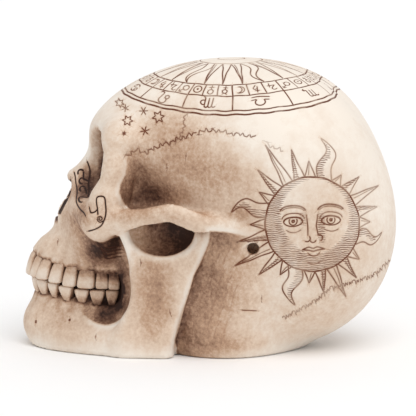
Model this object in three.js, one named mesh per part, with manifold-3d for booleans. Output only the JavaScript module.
// Skull figurine: a human skull with the lower jaw in place, cast in one piece.
// Millimetres, +Z up, the face toward -Y, its own left side toward +X.
// It rests on the flat underside of its jaw and skull base, at Z = 0.
import * as THREE from 'three';
import Module from 'manifold-3d';

// The rounded masses of the braincase: centre and half-sizes, on the left side.
const BRAINCASE = [
  { name: 'main', centre: [0, 13, 66.6], half: [44.1, 70.9, 71.3] },
  { name: 'parietal', centre: [13.5, 34, 92.5], half: [47.5, 49.6, 48.8] },
  { name: 'forehead', centre: [0, -17.7, 106], half: [42, 42.8, 29.4] },
  { name: 'crown', centre: [0, 9, 103.2], half: [48.8, 58.5, 42.5] },
  { name: 'occiput', centre: [0, 46.1, 62.2], half: [52, 49.1, 57] },
];
const BRAINCASE_SOFTNESS = 14;
const TEMPLE_WALL = { centre: [0, -28, 92], half: [40, 30, 34] };
const TEMPLE_HOLLOW = { centre: [50, -31, 84], half: [13.5, 12, 13] };
const SKULL_BASE = { centre: [0, 9.9, 17.1], half: [47.2, 37.5, 47.2] };
const MASTOID = { centre: [40, 20, 38], half: [9, 10, 20] };

// Ridges and bars of bone: points along the middle with the radius there.
const BROW_RIDGE = [[6, -46, 108, 6.2], [17, -45.4, 110.5, 5.8], [29, -43.6, 111.5, 5.6],
  [37, -41.8, 109, 5.8]];
const GLABELLA = { centre: [0, -46.2, 106], half: [17, 9.6, 9] };
const SOCKET_PILLAR = [[36.5, -41.5, 111.5, 4.4], [41.8, -43.2, 105, 5.4], [44.8, -43.6, 97, 6],
  [44.6, -44.8, 89, 6.2], [42.6, -48, 80, 7.4]];
const PILLAR_PLATE = [[41, -39, 106, 5], [40.5, -38.5, 96, 4.5], [39.5, -39, 88, 4], [38.5, -40.5, 79, 4]];
const SOCKET_RIM = [[44, -47, 80, 7], [42.5, -49.8, 71, 9.2], [36.5, -55, 70.5, 8], [29, -59, 73, 6.2],
  [20, -61.5, 76.5, 5], [13, -60.5, 82, 4.5], [10.5, -56, 90, 4.3], [9.5, -51.2, 99, 4.5],
  [8, -51.4, 106, 5]];
const CHEEKBONE = { centre: [41.5, -51.5, 67.5], half: [8, 7.6, 8] };
const CHEEK_ARCH = [[46, -46, 69.5, 7.2], [50.5, -38, 70.3, 5.2], [53.5, -29.5, 72.4, 4.1],
  [55.4, -21, 74.2, 4.3], [56, -14, 75.2, 4.7], [56, -7, 73, 4.9], [55.8, -1, 70.6, 5],
  [55.3, 5, 69.8, 4], [54.5, 14, 68.7, 3.4], [53, 24, 66.4, 3.1], [51, 31, 64, 2.6]];
const ARCH_SHELF = { centre: [38, -8, 73.2], half: [16, 30, 2.4], round: 2 };
const NOSE_BRIDGE = [[0, -47.5, 104, 7.2], [0, -50.8, 98.5, 6.2], [0, -56.4, 93, 5.8],
  [0, -64.5, 87.6, 4.4], [0, -69.4, 86.2, 3.2]];
const NOSE_FOOT = [[0, -58, 88, 8.6], [0, -61.5, 80, 10], [0, -62.9, 74, 11], [0, -67.2, 67, 12]];
const CHEEK_ROOT = [[38, -50, 66, 6], [27, -52, 52, 4]];
const UPPER_JAW = { centre: [0, -46, 62], half: [33, 24, 22] };
const JAW_WALL = { centre: [17, -55, 66], half: [17, 15, 19] };
const FACE_CORE = { centre: [0, -27, 40], half: [21.5, 39, 36], round: 8 };
const EAR_HOLE = [[60, 27.5, 57.3, 3], [42, 25.5, 57.3, 3]];

// The tooth row seen from above is half an ellipse with straight ends running back.
const ROW_HALF_WIDTH = 26.5;
const ROW_DEPTH = 46;
const ROW_BACK = -45;
// The teeth: widths from the middle of the face to the back, how far inside the outline they stand,
// their depth, their width at the gum as a share, how far they draw in there behind the bone,
// and how far the front ones lean out.
const UPPER_TEETH = {
  widths: [8.6, 6, 6.8, 7.4, 7.4, 9.1, 6.5, 5.6], inset: 1.6, depth: 4.2, neck: 0.86, tuck: 1.8, lean: 3.6,
};
const LOWER_TEETH = {
  widths: [4.8, 5.2, 7.4, 6.5, 8.4, 8.2, 8, 6.8], inset: 2.6, depth: 3.8, neck: 0.56, tuck: 1.6, lean: 1.8,
};
// How far a crown runs on under its gum, and past the middle of the bite.
const UNDER_GUM = 2.4;
const PAST_BITE = 0.2;
const BITE_FRONT = 36.4;
const BITE_BACK = 32.2;

// Eye socket, nose opening and the hollow between jaw and cheek.
const SOCKET_CENTRE = { x: 26, y: -52, z: 96.3 };
const SOCKET_HALF_WIDTH = 16.4;
const SOCKET_HALF_HEIGHT = 14.9;
const SOCKET_DEPTH = 34;
const NOSE_HALF_WIDTH = 9.6;
const NOSE_HALF_WIDTH_TOP = 4.5;
const NOSE_TOP = 83.4;
const NOSE_BOTTOM = 66.5;
const JAW_NOTCH = { centre: [52, -19.7, 63.5], half: [15, 17.5, 11.8] };
const MOUTH_CORNER = { y: -56, z: 43, halfDepth: 20, halfHeight: 27, inside: 29.5 };

// Lower jaw.
const JAW_FRONT = -90.6;
const JAW_BACK = -17;
const JAW_HALF_WIDTH = 45.8;
const CHIN = { centre: [0, -84.5, 11], half: [17, 10.6, 10] };
const JAW_BRANCH_FRONT = -42;
const JAW_BRANCH_TOP = 67;

// How finely the surface is followed: step of the first lattice, then the triangles kept on one side.
const LATTICE_STEP = 3.2;
const HALF_TRIANGLES = 3300;

const BONE = new THREE.MeshStandardMaterial({ color: 0xe2d3bb, roughness: 0.55, metalness: 0 });
BONE.name = 'bone_resin';

const { abs, exp, hypot, max, min, sqrt } = Math;
const { clamp, lerp, smoothstep } = THREE.MathUtils;

// Every form below is a distance: negative inside the bone, positive outside, zero on its surface.

// Joins two forms, filling the crease between them over the distance soft.
function join(a, b, soft) {
  const near = max(soft - abs(a - b), 0) / soft;
  return min(a, b) - near * near * soft / 4;
}

// Cuts form b out of form a, with an edge rounded over the distance soft.
function cut(a, b, soft) {
  return -join(-a, b, soft);
}

// Keeps what lies in both forms, with an edge rounded over the distance soft.
function overlap(a, b, soft) {
  return -join(-a, -b, soft);
}

function ellipsoid(p, { centre, half }) {
  const x = (p[0] - centre[0]) / half[0];
  const y = (p[1] - centre[1]) / half[1];
  const z = (p[2] - centre[2]) / half[2];
  const reach = hypot(x, y, z);
  const slope = hypot(x / half[0], y / half[1], z / half[2]) + 1e-9;
  return reach * (reach - 1) / slope;
}

function box(p, { centre, half, round }) {
  const x = abs(p[0] - centre[0]) - half[0] + round;
  const y = abs(p[1] - centre[1]) - half[1] + round;
  const z = abs(p[2] - centre[2]) - half[2] + round;
  return hypot(max(x, 0), max(y, 0), max(z, 0)) + min(max(x, y, z), 0) - round;
}

// Short straight lengths along a smooth curve through the given points, with the radius at each.
function barThrough(points, steps) {
  const middle = points.map(([x, y, z]) => new THREE.Vector3(x, y, z));
  const line = new THREE.CatmullRomCurve3(middle, false, 'catmullrom', 0.5);
  const spans = points.length - 1;
  const bar = [];
  for (let i = 0; i <= spans * steps; i++) {
    const span = min(Math.floor(i / steps), spans - 1);
    const at = line.getPoint(i / (spans * steps));
    const radius = lerp(points[span][3], points[span + 1][3], i / steps - span);
    bar.push([at.x, at.y, at.z, radius]);
  }
  return bar;
}

const FAR_FROM_BAR = 24;

// A round bar along a curve. Its cross-section is wide across the skull by the factor wide.
function bar(p, shape) {
  let farther = 0;
  for (let axis = 0; axis < 3; axis++) {
    farther = max(farther, shape.low[axis] - p[axis], p[axis] - shape.high[axis]);
  }
  if (farther > FAR_FROM_BAR) {
    return farther;
  }
  let nearest = Infinity;
  for (let i = 0; i + 1 < shape.points.length; i++) {
    const a = shape.points[i];
    const b = shape.points[i + 1];
    const ax = (p[0] - a[0]) / shape.wide;
    const ay = p[1] - a[1];
    const az = p[2] - a[2];
    const bx = (b[0] - a[0]) / shape.wide;
    const by = b[1] - a[1];
    const bz = b[2] - a[2];
    const along = clamp((ax * bx + ay * by + az * bz) / (bx * bx + by * by + bz * bz), 0, 1);
    const gap = hypot(ax - bx * along, ay - by * along, az - bz * along) - lerp(a[3], b[3], along);
    nearest = min(nearest, gap);
  }
  return nearest * (1 + min(shape.wide, 1)) / 2;
}

function barShape(points, wide, steps = 7) {
  const fine = barThrough(points, steps);
  const low = [0, 1, 2].map((axis) => min(...fine.map((q) => q[axis] - q[3])));
  const high = [0, 1, 2].map((axis) => max(...fine.map((q) => q[axis] + q[3])));
  return { points: fine, wide, low, high };
}

const browRidge = barShape(BROW_RIDGE, 1);
const socketPillar = barShape(SOCKET_PILLAR, 0.85);
const pillarPlate = barShape(PILLAR_PLATE, 1);
const socketRim = barShape(SOCKET_RIM, 1);
const cheekArch = barShape(CHEEK_ARCH, 0.72, 4);
const noseBridge = barShape(NOSE_BRIDGE, 1.15);
const noseFoot = barShape(NOSE_FOOT, 1.3);
const cheekRoot = barShape(CHEEK_ROOT, 1, 1);
const earHole = barShape(EAR_HOLE, 1, 1);

// Distance outside the tooth row seen from above, moved outward by grow.
function rowPlan(x, y, grow) {
  const half = ROW_HALF_WIDTH + grow;
  const depth = ROW_DEPTH + grow;
  if (y > ROW_BACK) {
    return x - half;
  }
  const u = x / half;
  const v = (y - ROW_BACK) / depth;
  const reach = hypot(u, v);
  return reach * (reach - 1) / (hypot(u / half, v / depth) + 1e-9);
}

const upperGum = (y) => lerp(48.3, 39.5, sqrt(clamp((y + 91) / 40, 0, 1)));
const lowerGum = (y) => lerp(28.6, 23.4, clamp((y + 91) / 40, 0, 1));
const bite = (y) => lerp(BITE_FRONT, BITE_BACK, smoothstep(y, -92, -60));

function braincase(p) {
  let form = ellipsoid(p, BRAINCASE[0]);
  for (const mass of BRAINCASE.slice(1)) {
    form = join(form, ellipsoid(p, mass), BRAINCASE_SOFTNESS);
  }
  form = join(form, ellipsoid(p, TEMPLE_WALL), 8);
  form = cut(form, ellipsoid(p, TEMPLE_HOLLOW), 7);
  return join(form, join(ellipsoid(p, SKULL_BASE), ellipsoid(p, MASTOID), 8), 12);
}

// Upper jaw: the bone above the upper teeth and under the eye sockets, and what lies behind it.
function upperJaw(p) {
  const [x, y, z] = p;
  const leaning = y - 14 * smoothstep(z, 46, 66);
  const gumWall = rowPlan(x, leaning, -0.6 + 0.5 * (1 - smoothstep(z, 46, 60)));
  const gumBand = max(z - 67, upperGum(y) - z, y + 28);
  let form = ellipsoid(p, UPPER_JAW);
  form = join(form, overlap(gumWall, gumBand, 5), 6);
  form = join(form, ellipsoid(p, JAW_WALL), 8);
  return join(form, bar(p, cheekRoot), 7);
}

// The solid mass inside the face and behind both rows of teeth.
function faceCore(p) {
  const palate = overlap(overlap(rowPlan(p[0], p[1], -6), abs(p[2] - 36) - 16, 3), p[1] + 30, 3);
  return join(box(p, FACE_CORE), palate, 3);
}

// Body of the lower jaw: a bow in plan, wider at its lower edge, with the chin.
function jawBody(p) {
  const [x, y, z] = p;
  const rise = smoothstep(z, 7, 27);
  const front = JAW_FRONT + 1.8 * smoothstep(z, 12, 30);
  const half = lerp(JAW_HALF_WIDTH, 32.4, rise);
  const length = lerp(52, 76, rise);
  const bend = 2.8;
  const across = abs(x) / half;
  const slope = hypot(bend / half * across ** (bend - 1), 1 / length);
  let form = (across ** bend - (y - front) / length) / slope;
  form = overlap(form, x - JAW_HALF_WIDTH, 3);
  form = overlap(form, z - lowerGum(y), 3);
  form = overlap(form, y - JAW_BACK, 6);
  form = join(form, ellipsoid(p, CHIN), 8);
  return overlap(form, -1.2 - z, 2.5);
}

// Upright branch of the lower jaw, from its angle up under the cheek arch.
function jawBranch(p) {
  const [x, y, z] = p;
  const dip = 2.2 * exp(-(((y + 26) / 10) ** 2) - ((z - 36) / 20) ** 2);
  const swell = 0.8 * exp(-(((y + 18) / 9) ** 2) - ((z - 10) / 10) ** 2);
  const side = lerp(45, 50, clamp(z / 66, 0, 1)) - dip + swell;
  const back = lerp(-15.5, 5, clamp((z - 6) / 56, 0, 1));
  const outline = overlap(overlap(JAW_BRANCH_FRONT - y, y - back, 5), z - JAW_BRANCH_TOP, 3);
  const slab = overlap(overlap(outline, x - side, 6), 20 - x, 3);
  return overlap(slab, -0.8 - z, 4);
}

// Squarish eye socket that narrows and turns inward toward its depth.
function eyeSocket(p) {
  const deep = max(p[1] - SOCKET_CENTRE.y, 0);
  const x = p[0] - SOCKET_CENTRE.x;
  const across = abs(x + 0.43 * deep) / SOCKET_HALF_WIDTH;
  const high = abs(p[2] - SOCKET_CENTRE.z + 0.1 * deep + 0.1 * x) / SOCKET_HALF_HEIGHT;
  const round = (across ** 2.5 + high ** 2.5) ** 0.4;
  const flare = 0.012 * max(SOCKET_CENTRE.y - p[1], 0);
  return (hypot(round, deep / SOCKET_DEPTH) - 1 - flare) * 12.5;
}

// Pear-shaped nose opening, its floor falling toward the front, with the small spine at its foot.
function noseOpening(p) {
  const rise = clamp((p[2] - 67) / 17, 0, 1);
  const side = abs(p[0]) - lerp(NOSE_HALF_WIDTH, NOSE_HALF_WIDTH_TOP, rise ** 1.5);
  const spine = 1.6 * (1 - smoothstep(abs(p[0]), 0, 4));
  const floor = NOSE_BOTTOM + spine - 0.35 * max(-70 - p[1], 0);
  const outline = overlap(overlap(side, p[2] - NOSE_TOP, 3), floor - p[2], 4);
  return overlap(outline, p[1] + 50, 3);
}

// Hollow behind the tooth row, in front of the upright branch of the jaw.
function mouthCorner(p) {
  const y = p[1] - MOUTH_CORNER.y - 0.22 * max(42 - p[2], 0);
  const z = p[2] - MOUTH_CORNER.z;
  const reach = hypot(y / MOUTH_CORNER.halfDepth, z / MOUTH_CORNER.halfHeight);
  const slope = hypot(y / MOUTH_CORNER.halfDepth ** 2, z / MOUTH_CORNER.halfHeight ** 2) + 1e-9;
  return overlap(reach * (reach - 1) / slope, MOUTH_CORNER.inside - p[0], 5);
}

// The whole skull without its teeth. Both sides are alike.
function bone(x, y, z) {
  const p = [sqrt(x * x + 0.5), y, z];
  let form = braincase(p);
  form = join(form, join(bar(p, noseBridge), bar(p, noseFoot), 4), 6);
  form = join(form, faceCore(p), 6);
  form = join(form, upperJaw(p), 5);
  const brow = join(ellipsoid(p, GLABELLA), bar(p, browRidge), 6);
  form = join(form, brow, lerp(6, 11, smoothstep(z, 104, 114)));
  const pillar = join(bar(p, socketPillar), bar(p, pillarPlate), 4);
  form = join(form, pillar, lerp(4, 12, smoothstep(z, 98, 112)));
  form = join(form, join(bar(p, socketRim), ellipsoid(p, CHEEKBONE), 5), 5);
  form = cut(form, eyeSocket(p), 3);
  form = cut(form, noseOpening(p), 1.6);
  let jaw = join(jawBody(p), jawBranch(p), lerp(9, 5, smoothstep(z, 12, 30)));
  jaw = cut(jaw, mouthCorner(p), 3);
  form = join(form, jaw, 3);
  form = cut(form, ellipsoid(p, JAW_NOTCH), 2.5);
  form = join(form, box(p, ARCH_SHELF), 3);
  form = join(form, bar(p, cheekArch), 2.5);
  form = cut(form, bar(p, earHole), 1);
  return overlap(form, -z, 1.5);
}

// Direction in which the distance grows fastest at a point.
function outward(x, y, z) {
  const step = 0.05;
  return [
    (bone(x + step, y, z) - bone(x - step, y, z)) / (2 * step),
    (bone(x, y + step, z) - bone(x, y - step, z)) / (2 * step),
    (bone(x, y, z + step) - bone(x, y, z - step)) / (2 * step),
  ];
}

// First skin of the left half: each lattice cell is split into six tetrahedra around its diagonal,
// and each tetrahedron that the surface crosses gives one or two triangles.
const CORNER_PATHS = [[1, 3], [1, 5], [2, 3], [2, 6], [4, 5], [4, 6]];

function firstSkin() {
  const low = [0, -98, -2.1];
  const count = [21, 62, 48];
  const side = count.map((n) => n + 1);
  const place = (i, j, k) => (k * side[1] + j) * side[0] + i;
  const at = (n) => [
    low[0] + LATTICE_STEP * (n % side[0]),
    low[1] + LATTICE_STEP * (Math.floor(n / side[0]) % side[1]),
    low[2] + LATTICE_STEP * Math.floor(n / side[0] / side[1]),
  ];
  const value = new Float64Array(side[0] * side[1] * side[2]);
  for (let n = 0; n < value.length; n++) {
    const distance = bone(...at(n));
    value[n] = abs(distance) < 1e-4 ? 1e-4 : distance;
  }
  const points = [];
  const faces = [];
  const made = new Map();
  const crossing = (a, b) => {
    const key = min(a, b) * value.length + max(a, b);
    if (!made.has(key)) {
      const share = clamp(value[a] / (value[a] - value[b]), 0.12, 0.88);
      const from = at(a);
      const to = at(b);
      made.set(key, points.length);
      points.push(from.map((v, axis) => lerp(v, to[axis], share)));
    }
    return made.get(key);
  };
  const addFace = (a, b, c, solidPoint) => {
    const [p, q, r, s] = [points[a], points[b], points[c], solidPoint];
    const normal = faceNormal([p, q, r]);
    faces.push(dotProduct(normal, minus(s, p)) < 0 ? [a, b, c] : [a, c, b]);
  };
  for (let k = 0; k < count[2]; k++) {
    for (let j = 0; j < count[1]; j++) {
      for (let i = 0; i < count[0]; i++) {
        const corner = [0, 1, 2, 3, 4, 5, 6, 7]
          .map((c) => place(i + (c & 1), j + (c >> 1 & 1), k + (c >> 2)));
        const solids = corner.filter((n) => value[n] < 0).length;
        if (solids === 0 || solids === 8) {
          continue;
        }
        for (const [first, second] of CORNER_PATHS) {
          const four = [corner[0], corner[first], corner[second], corner[7]];
          const solid = four.filter((n) => value[n] < 0);
          const air = four.filter((n) => value[n] > 0);
          if (solid.length === 1) {
            addFace(...air.map((n) => crossing(solid[0], n)), at(solid[0]));
          } else if (solid.length === 3) {
            const beyond = at(air[0]);
            const [a, b, c] = solid.map((n) => crossing(n, air[0]));
            const mirrored = points[a].map((v, axis) => 2 * v - beyond[axis]);
            addFace(a, b, c, mirrored);
          } else if (solid.length === 2) {
            const a = crossing(solid[0], air[0]);
            const b = crossing(solid[0], air[1]);
            const c = crossing(solid[1], air[1]);
            const d = crossing(solid[1], air[0]);
            addFace(a, b, c, at(solid[0]));
            addFace(a, c, d, at(solid[1]));
          }
        }
      }
    }
  }
  return { points, faces };
}

function minus(a, b) {
  return [a[0] - b[0], a[1] - b[1], a[2] - b[2]];
}

function dotProduct(a, b) {
  return a[0] * b[0] + a[1] * b[1] + a[2] * b[2];
}

function crossProduct(a, b) {
  return [a[1] * b[2] - a[2] * b[1], a[2] * b[0] - a[0] * b[2], a[0] * b[1] - a[1] * b[0]];
}

function faceNormal([a, b, c]) {
  return crossProduct(minus(b, a), minus(c, a));
}

function longestSide([a, b, c]) {
  return max(hypot(...minus(a, b)), hypot(...minus(b, c)), hypot(...minus(c, a)));
}

// Sum of squared distances to planes, kept as the ten numbers of a symmetric 4 x 4 matrix.
function addPlane(sum, [a, b, c], d, weight) {
  const terms = [a * a, a * b, a * c, a * d, b * b, b * c, b * d, c * c, c * d, d * d];
  for (let n = 0; n < 10; n++) {
    sum[n] += weight * terms[n];
  }
}

function planeError(q, [x, y, z]) {
  return q[0] * x * x + 2 * q[1] * x * y + 2 * q[2] * x * z + 2 * q[3] * x + q[4] * y * y
    + 2 * q[5] * y * z + 2 * q[6] * y + q[7] * z * z + 2 * q[8] * z + q[9];
}

// Merges short, flat edges one after another until the wanted number of triangles is left,
// the edge whose loss changes the surface least always first. Points at X = 0 stay there.
function thinOut(points, faces, wanted) {
  const sums = points.map(() => new Float64Array(10));
  const around = points.map(() => new Set());
  const onMiddle = points.map((p) => p[0] === 0);
  faces.forEach((face, f) => {
    const [p, q, r] = face.map((v) => points[v]);
    const normal = crossProduct(minus(q, p), minus(r, p));
    const area = hypot(...normal) + 1e-12;
    const unit = normal.map((v) => v / area);
    const mirrored = [-unit[0], unit[1], unit[2]];
    for (const v of face) {
      around[v].add(f);
      addPlane(sums[v], unit, -dotProduct(unit, p), area);
      if (onMiddle[v]) {
        addPlane(sums[v], mirrored, -dotProduct(mirrored, [-p[0], p[1], p[2]]), area);
      }
    }
  });
  const changes = new Int32Array(points.length);
  const heap = [];
  const swap = (i, j) => {
    const kept = heap[i];
    heap[i] = heap[j];
    heap[j] = kept;
  };
  const push = (item) => {
    heap.push(item);
    let i = heap.length - 1;
    while (i > 0 && heap[(i - 1) >> 1].cost > heap[i].cost) {
      swap(i, (i - 1) >> 1);
      i = (i - 1) >> 1;
    }
  };
  const pop = () => {
    swap(0, heap.length - 1);
    const top = heap.pop();
    let i = 0;
    for (;;) {
      const left = 2 * i + 1;
      const right = left + 1;
      let least = i;
      if (left < heap.length && heap[left].cost < heap[least].cost) {
        least = left;
      }
      if (right < heap.length && heap[right].cost < heap[least].cost) {
        least = right;
      }
      if (least === i) {
        return top;
      }
      swap(i, least);
      i = least;
    }
  };
  const offer = (a, b) => {
    const sum = sums[a].map((v, n) => v + sums[b][n]);
    const middle = points[a].map((v, axis) => (v + points[b][axis]) / 2);
    let choices = [points[a], points[b], middle];
    if (onMiddle[a] !== onMiddle[b]) {
      choices = [onMiddle[a] ? points[a] : points[b]];
    }
    const length = hypot(...minus(points[a], points[b]));
    let best = null;
    for (const choice of choices) {
      const cost = planeError(sum, choice) + 2e-4 * length ** 4;
      if (best === null || cost < best.cost) {
        best = { cost, choice };
      }
    }
    push({ a, b, cost: best.cost, to: best.choice, stamp: changes[a] + changes[b] });
  };
  const neighbours = (v) => {
    const found = new Set();
    for (const f of around[v]) {
      faces[f].forEach((n) => found.add(n));
    }
    found.delete(v);
    return found;
  };
  const seen = new Set();
  for (const face of faces) {
    for (let n = 0; n < 3; n++) {
      const a = min(face[n], face[(n + 1) % 3]);
      const b = max(face[n], face[(n + 1) % 3]);
      const key = a * points.length + b;
      if (!seen.has(key)) {
        seen.add(key);
        offer(a, b);
      }
    }
  }
  let left = faces.length;
  while (left > wanted && heap.length > 0) {
    const { a, b, to, stamp } = pop();
    if (around[a] === null || around[b] === null || stamp !== changes[a] + changes[b]) {
      continue;
    }
    const shared = [...around[a]].filter((f) => around[b].has(f));
    const nearB = neighbours(b);
    const common = [...neighbours(a)].filter((v) => nearB.has(v));
    if (common.length !== shared.length || shared.length === 0) {
      continue;
    }
    if (onMiddle[a] && onMiddle[b] && shared.length !== 1) {
      continue;
    }
    const turns = [...around[a], ...around[b]].some((f) => {
      if (shared.includes(f)) {
        return false;
      }
      const before = faces[f].map((v) => points[v]);
      const after = faces[f].map((v) => (v === a || v === b ? to : points[v]));
      const was = faceNormal(before);
      const is = faceNormal(after);
      const fullness = hypot(...is) / longestSide(after) ** 2;
      const thinner = fullness < hypot(...was) / longestSide(before) ** 2;
      const hadShape = hypot(...was) > 0.03 * longestSide(before) ** 2;
      const turned = dotProduct(was, is) < 0.3 * hypot(...was) * hypot(...is);
      return (fullness < 0.12 && thinner) || (hadShape && turned);
    });
    if (turns) {
      continue;
    }
    for (const f of shared) {
      faces[f].forEach((v) => around[v].delete(f));
      faces[f] = null;
      left -= 1;
    }
    for (const f of around[b]) {
      faces[f] = faces[f].map((v) => (v === b ? a : v));
      around[a].add(f);
    }
    around[b] = null;
    onMiddle[a] = onMiddle[a] || onMiddle[b];
    points[a] = to;
    sums[a] = sums[a].map((v, n) => v + sums[b][n]);
    changes[a] += 1;
    for (const v of neighbours(a)) {
      changes[v] += 1;
    }
    for (const v of neighbours(a)) {
      offer(min(a, v), max(a, v));
      for (const w of neighbours(v)) {
        if (w !== a) {
          offer(min(v, w), max(v, w));
        }
      }
    }
  }
  return faces.filter((face) => face !== null);
}

// Moves a point onto the surface, staying in the middle plane if it is there.
function settle(point) {
  let [x, y, z] = point;
  for (let round = 0; round < 3; round++) {
    const distance = bone(x, y, z);
    const way = outward(x, y, z);
    const step = clamp(distance / (dotProduct(way, way) + 1e-9), -0.4, 0.4);
    x = point[0] === 0 ? 0 : x - step * way[0];
    y -= step * way[1];
    z -= step * way[2];
  }
  return [x, y, abs(z) < 0.08 ? 0 : z];
}

// The left half, thinned out and settled on the surface, and its mirror image, sewn at X = 0.
function boneGeometry() {
  const { points, faces } = firstSkin();
  const kept = thinOut(points, faces, HALF_TRIANGLES);
  const position = [];
  const left = new Map();
  const right = new Map();
  for (const v of new Set(kept.flat())) {
    const [x, y, z] = settle(points[v]);
    left.set(v, position.length / 3);
    position.push(x, y, z);
    if (x === 0) {
      right.set(v, left.get(v));
    } else {
      right.set(v, position.length / 3);
      position.push(-x, y, z);
    }
  }
  const index = [];
  for (const [a, b, c] of kept) {
    index.push(left.get(a), left.get(b), left.get(c));
    index.push(right.get(a), right.get(c), right.get(b));
  }
  const geometry = new THREE.BufferGeometry();
  geometry.setAttribute('position', new THREE.Float32BufferAttribute(position, 3));
  geometry.setIndex(index);
  return geometry;
}

// A point of the tooth row's outline at an angle from the middle of the face, with the way it faces.
function rowPoint(angle, inset) {
  const half = ROW_HALF_WIDTH - inset;
  const depth = ROW_DEPTH - inset;
  const turn = min(angle, Math.PI / 2);
  return {
    x: half * Math.sin(turn),
    y: ROW_BACK - depth * Math.cos(turn) + max(angle - Math.PI / 2, 0) * depth,
    facing: Math.atan2(-Math.cos(turn) / depth, Math.sin(turn) / half),
  };
}

// Angles along the row where one tooth ends and the next begins, from the middle of the face to the back.
function toothEnds({ widths, inset }) {
  const step = 0.0004;
  const ends = [0];
  let angle = 0;
  let travelled = 0;
  let wanted = 0;
  for (const width of widths) {
    wanted += width;
    while (travelled < wanted) {
      const here = rowPoint(angle, inset);
      const next = rowPoint(angle + step, inset);
      travelled += hypot(next.x - here.x, next.y - here.y);
      angle += step;
    }
    ends.push(angle);
  }
  return ends;
}

// A tooth crown from gum to bite: a rounded block bent along the row, narrower and drawn in at the gum,
// leaning forward at the bite.
function toothGeometry(start, end, gum, teeth, away) {
  const geometry = new THREE.BoxGeometry(2, 2, 2, 2, 2, 3);
  geometry.deleteAttribute('normal');
  geometry.deleteAttribute('uv');
  const place = geometry.attributes.position;
  const middle = rowPoint((start + end) / 2, teeth.inset);
  const gumHeight = gum(middle.y) + UNDER_GUM * away;
  const biteHeight = bite(middle.y) + PAST_BITE * away;
  const lean = teeth.lean * clamp((-50 - middle.y) / 30, 0, 1);
  for (let n = 0; n < place.count; n++) {
    const [a, b, c] = [place.getX(n), place.getY(n), place.getZ(n)];
    const size = (abs(a) ** 6 + abs(b) ** 6 + abs(c) ** 6) ** (1 / 6);
    const rise = (c / size + 1) / 2;
    const share = (a / size * lerp(1.04, teeth.neck, rise * rise) + 1) / 2;
    const thick = teeth.depth * (b / size * lerp(0.62, 1, rise) - 0.3) - teeth.tuck * rise * rise;
    const { x, y, facing } = rowPoint(lerp(start, end, share), teeth.inset);
    place.setXYZ(n, x + thick * Math.cos(facing), y + thick * Math.sin(facing) - lean * (1 - rise),
      lerp(biteHeight, gumHeight, rise));
  }
  return geometry;
}

function teethGeometries() {
  const crowns = [];
  for (const [teeth, gum, away] of [[UPPER_TEETH, upperGum, 1], [LOWER_TEETH, lowerGum, -1]]) {
    const ends = toothEnds(teeth);
    for (let n = 0; n < teeth.widths.length; n++) {
      const crown = toothGeometry(ends[n], ends[n + 1], gum, teeth, away);
      const mirrored = crown.clone();
      mirrored.scale(-1, 1, 1);
      crowns.push(crown, mirrored);
    }
  }
  return crowns;
}

const wasm = await Module();
wasm.setup();

// A closed solid from a geometry: equal points are merged and the faces turned outward.
function solidFrom(geometry) {
  const place = geometry.attributes.position;
  const numbers = new Map();
  const vertProperties = [];
  const merged = [];
  for (let n = 0; n < place.count; n++) {
    const point = [place.getX(n), place.getY(n), place.getZ(n)];
    const key = point.map((v) => Math.round(v * 1e4)).join();
    if (!numbers.has(key)) {
      numbers.set(key, vertProperties.length / 3);
      vertProperties.push(...point);
    }
    merged.push(numbers.get(key));
  }
  const triVerts = [];
  let volume = 0;
  for (let n = 0; n < geometry.index.count; n += 3) {
    const three = [0, 1, 2].map((m) => merged[geometry.index.getX(n + m)]);
    const [p, q, r] = three.map((v) => vertProperties.slice(3 * v, 3 * v + 3));
    volume += dotProduct(p, crossProduct(q, r));
    triVerts.push(...three);
  }
  if (volume < 0) {
    triVerts.reverse();
  }
  return new wasm.Manifold(new wasm.Mesh({
    numProp: 3,
    vertProperties: new Float32Array(vertProperties),
    triVerts: new Uint32Array(triVerts),
  }));
}

let solid = solidFrom(boneGeometry());
for (const tooth of teethGeometries()) {
  solid = solid.add(solidFrom(tooth));
}
const joined = solid.getMesh();
const geometry = new THREE.BufferGeometry();
geometry.setAttribute('position', new THREE.BufferAttribute(joined.vertProperties, 3));
geometry.setIndex(new THREE.BufferAttribute(joined.triVerts, 1));
geometry.computeVertexNormals();

const skull = new THREE.Mesh(geometry, BONE);
skull.name = 'skull';

const figurine = new THREE.Group();
figurine.name = 'skull_figurine';
figurine.add(skull);

export default figurine;
